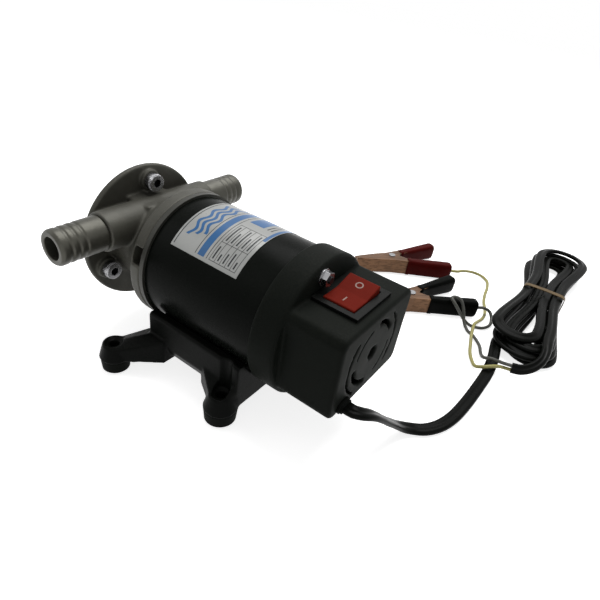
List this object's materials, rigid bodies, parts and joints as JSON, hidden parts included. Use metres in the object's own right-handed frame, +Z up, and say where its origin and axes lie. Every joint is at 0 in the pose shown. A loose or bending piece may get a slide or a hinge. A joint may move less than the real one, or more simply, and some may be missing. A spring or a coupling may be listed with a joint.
{
  "type": "electric bilge pump",
  "caption": "Self-priming 12 V pump: cast head with a flange and screwed-in hose tails, round motor, boxed end cap with rocker switch, footed base, folded lead and battery clamps.",
  "frame": {"origin": "on the floor, midway between the two rear fixing holes, below the motor axis", "axes": "+X along the motor axis from the pump head to the switch, +Z up, -Y towards the inlet hose tail"},
  "size_m": [0.2635, 0.4072, 0.0995],
  "materials": {
    "cast_head": "rough sand-cast grey metal",
    "steel": "bright plated steel",
    "motor_paint": "gloss black paint",
    "base_paint": "satin black paint",
    "magnet": "dull ferrite",
    "brass": "machined brass",
    "copper": "copper plate and enamelled wire",
    "carbon": "carbon brush",
    "insulator": "brown laminate",
    "cap_plastic": "fine-grained black moulding",
    "switch_plastic": "glossy black moulding",
    "rocker_plastic": "glossy red moulding",
    "rubber": "matt black rubber",
    "sheath": "satin black flexible sheath",
    "band": "tan natural rubber",
    "yellow_pvc": "soft yellow insulation",
    "grey_pvc": "soft grey insulation",
    "red_pvc": "soft red sleeve",
    "black_pvc": "soft black sleeve"
  },
  "bodies": {
    "pump": {"pump_cover": "cast_head", "cover_o_ring": "rubber", "pump_housing": "cast_head", "cover_screws": "steel", "inlet_tail": "cast_head", "outlet_tail": "cast_head", "shaft_seal": "rubber", "front_plate": "cast_head", "motor_can": "motor_paint", "field_magnets": "magnet", "front_bearing": "steel", "rear_bearing": "steel", "rear_plate": "cast_head", "brush_holders": "insulator", "brushes": "carbon", "brush_springs": "steel", "tie_bolts": "steel", "tie_nuts": "steel", "end_cap": "cap_plastic", "switch_body": "switch_plastic", "cord_gland": "rubber", "base_bracket": "base_paint", "saddle_pad": "rubber", "base_screws": "steel", "foot_rear_near": "rubber", "foot_rear_far": "rubber", "foot_front_near": "rubber", "foot_front_far": "rubber", "power_cord": "sheath", "cord_hank": "sheath", "rubber_band": "band", "yellow_wire": "yellow_pvc", "grey_wire": "grey_pvc", "red_fixed_jaw": "copper", "red_fixed_sleeve": "red_pvc", "red_rivet": "steel", "red_spring": "steel", "black_fixed_jaw": "copper", "black_fixed_sleeve": "black_pvc", "black_rivet": "steel", "black_spring": "steel"},
    "rotor": {"motor_shaft": "steel", "armature_core": "steel", "armature_winding": "copper", "commutator": "copper", "star_impeller": "brass", "slinger": "rubber"},
    "rocker": {"switch_rocker": "rocker_plastic"},
    "red_jaw": {"red_moving_jaw": "copper", "red_moving_sleeve": "red_pvc"},
    "black_jaw": {"black_moving_jaw": "copper", "black_moving_sleeve": "black_pvc"}
  },
  "joints": [
    {"name": "rotor_spin", "type": "hinge", "parent": "pump", "child": "rotor", "pos_m": [0, 0, 0.056], "axis": [1, 0, 0], "continuous": true},
    {"name": "rocker_tip", "type": "hinge", "parent": "pump", "child": "rocker", "pos_m": [0.114, 0, 0.0798], "axis": [-1, 0, 0], "range_deg": [0, 16]},
    {"name": "red_clamp_squeeze", "type": "hinge", "parent": "pump", "child": "red_jaw", "pos_m": [0.0605, 0.18, 0.0075], "axis": [0, 0, -1], "range_deg": [0, 18], "stiffness_Nm_per_rad": 0.3, "springref_deg": -28.65},
    {"name": "black_clamp_squeeze", "type": "hinge", "parent": "pump", "child": "black_jaw", "pos_m": [0.1, 0.138, 0.0075], "axis": [0, 0, -1], "range_deg": [0, 18], "stiffness_Nm_per_rad": 0.3, "springref_deg": -28.65}
  ]
}
